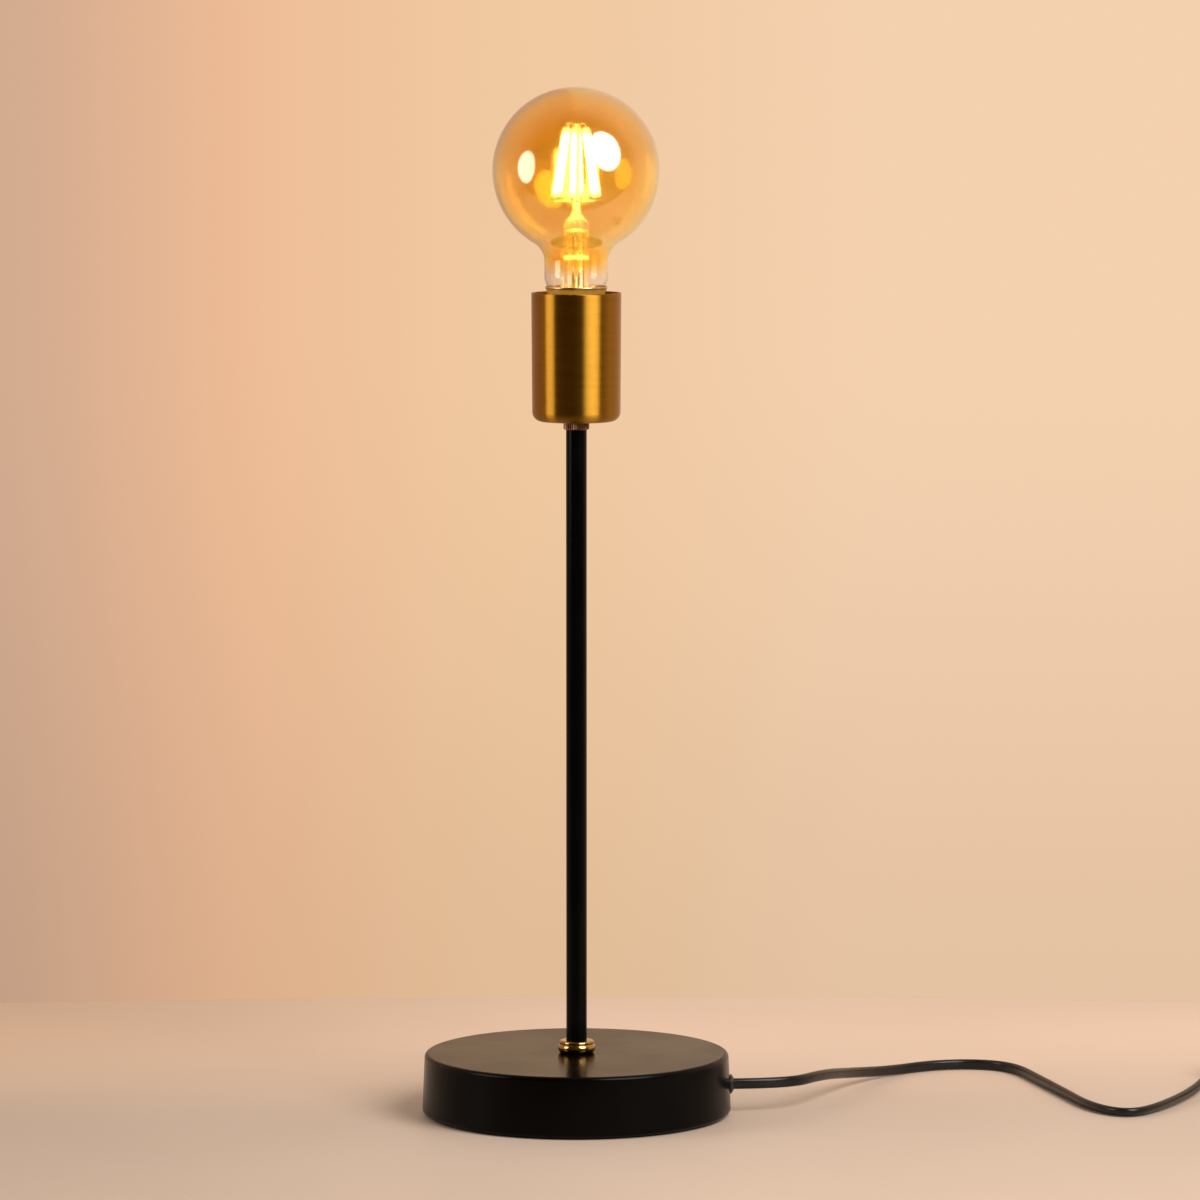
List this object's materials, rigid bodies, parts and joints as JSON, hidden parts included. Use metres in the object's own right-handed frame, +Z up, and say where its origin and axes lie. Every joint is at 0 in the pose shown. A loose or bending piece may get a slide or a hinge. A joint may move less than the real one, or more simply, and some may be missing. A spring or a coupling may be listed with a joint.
{
  "type": "bare bulb table lamp",
  "caption": "Table lamp: a round weighted base, a slim straight stem, a brass cup lampholder and a globe filament bulb, with a mains lead, in-line switch and plug.",
  "frame": {"origin": "middle of the base's underside, on the table", "axes": "+Z up along the stem, +X towards the side where the lead leaves the base"},
  "size_m": [0.4958, 0.2339, 0.4972],
  "materials": {
    "black_paint": "satin black powder coat",
    "cast_iron": "rough casting",
    "zinc_steel": "zinc plated",
    "foam_pad": "matt foam",
    "polished_brass": "lacquered, polished",
    "dark_bronze": "bronzed, knurled",
    "antique_brass": "brushed antique brass",
    "black_moulding": "moulded",
    "contact_brass": "bare",
    "amber_glass": "amber lustre, fading to clear at the neck",
    "clear_glass": "clear",
    "filament": "phosphor strip, lit",
    "nickel_wire": "drawn wire",
    "circuit_board": "solder mask",
    "cap_brass": "rolled sheet",
    "black_insulator": "vitrite",
    "black_fitting": "moulded, half gloss",
    "black_cord": "smooth extruded",
    "core_brown": "extruded",
    "tie_strap": "woven loop strap",
    "plug_nickel": "nickel plated"
  },
  "bodies": {
    "lamp": {"base_cover": "black_paint", "base_weight": "cast_iron", "base_plate": "zinc_steel", "base_screws": "zinc_steel", "base_pad": "foam_pad", "foot_washer": "zinc_steel", "foot_nut": "zinc_steel", "stem_tube": "black_paint", "foot_collar": "polished_brass", "ring_nut": "dark_bronze", "socket_cup": "antique_brass", "cup_lock_nut": "zinc_steel", "holder_cap": "black_moulding", "holder_skirt": "black_moulding", "holder_insert": "black_moulding", "terminals": "contact_brass", "terminal_screws": "zinc_steel", "screw_shell": "contact_brass", "centre_contact": "contact_brass", "gland_body": "black_fitting", "gland_nut": "black_fitting", "inner_cord": "black_cord", "inner_cores": "core_brown", "cord_run": "black_cord", "cord_lead": "black_cord", "cord_coil": "black_cord", "cord_tail": "black_cord", "cord_tie": "tie_strap", "switch_bottom": "black_fitting", "switch_top": "black_fitting", "switch_screws": "zinc_steel", "plug_body": "black_fitting", "plug_pins": "plug_nickel"},
    "bulb_foot": {"bulb_insulator": "black_insulator", "bulb_contact": "contact_brass"},
    "bulb": {"bulb_glass": "amber_glass", "bulb_stem": "clear_glass", "bulb_filaments": "filament", "bulb_supports": "nickel_wire", "bulb_leads": "nickel_wire", "bulb_driver": "circuit_board", "bulb_cap": "cap_brass"},
    "rocker": {"switch_rocker": "black_fitting"}
  },
  "joints": [
    {"name": "bulb_rise", "type": "slide", "parent": "lamp", "child": "bulb_foot", "axis": [0, 0, 1], "range_m": [0, 0.01543]},
    {"name": "bulb_turn", "type": "hinge", "parent": "bulb_foot", "child": "bulb", "pos_m": [0, 0, 0.4], "axis": [0, 0, 1], "range_deg": [0, 1530]},
    {"name": "switch_press", "type": "hinge", "parent": "lamp", "child": "rocker", "pos_m": [0.34195, 0.10941, 0.0144], "axis": [0.8469, -0.5318, 0], "range_deg": [0, 14]}
  ],
  "couplings": [
    {"joint": "bulb_rise", "follows": "bulb_turn", "m_per_rad": 0.00057757}
  ]
}
